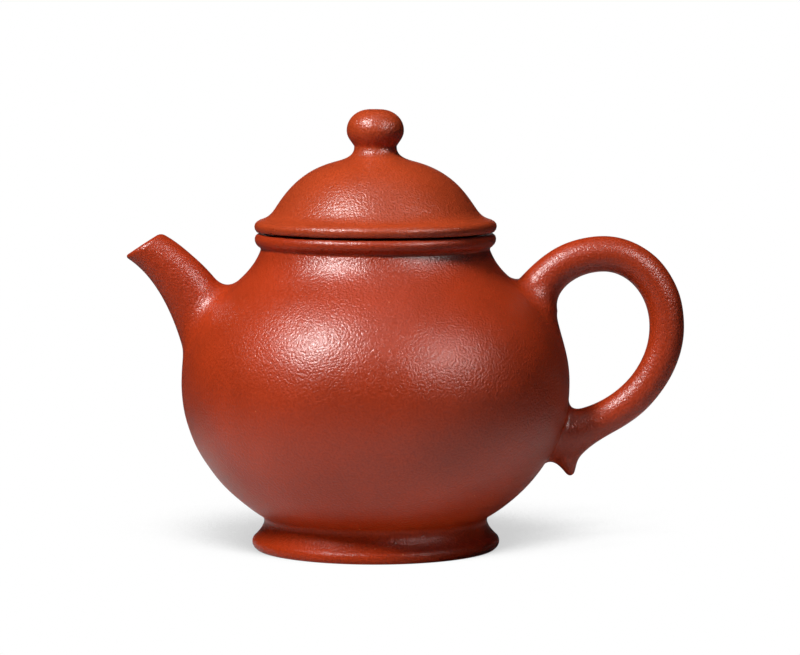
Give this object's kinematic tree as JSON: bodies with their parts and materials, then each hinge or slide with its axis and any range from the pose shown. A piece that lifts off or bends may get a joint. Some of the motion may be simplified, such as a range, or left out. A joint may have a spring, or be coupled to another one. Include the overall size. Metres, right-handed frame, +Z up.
{
  "type": "clay teapot",
  "caption": "Round unglazed red clay teapot with a short spout, ear-shaped handle, flared foot ring and a lift-off domed lid with a ball knob; brews and pours tea.",
  "frame": {"origin": "on the pot's axis at the table: the centre of the foot ring's tread", "axes": "+Z up along the pot's axis, +X towards the handle, -X towards the spout, -Y towards the viewer of the picture"},
  "size_m": [0.1205, 0.084, 0.0948],
  "materials": {
    "pot_clay": "unglazed red-brown stoneware, satin, with a fine pear-skin grain",
    "lid_clay": "unglazed red-brown stoneware, satin, with a fine pear-skin grain"
  },
  "bodies": {
    "pot": {"foot_ring": "pot_clay", "base_slab": "pot_clay", "lower_wall": "pot_clay", "upper_wall": "pot_clay", "shoulder_slab": "pot_clay", "mouth_rim": "pot_clay", "spout": "pot_clay", "strainer": "pot_clay", "handle": "pot_clay"},
    "lid": {"lid_rim": "lid_clay", "lid_flange": "lid_clay", "lid_dome": "lid_clay", "knob_neck": "lid_clay", "knob": "lid_clay"}
  },
  "joints": [
    {"name": "lid_lift", "type": "slide", "parent": "pot", "child": "lid", "axis": [0, 0, 1], "range_m": [0, 0.06]}
  ]
}
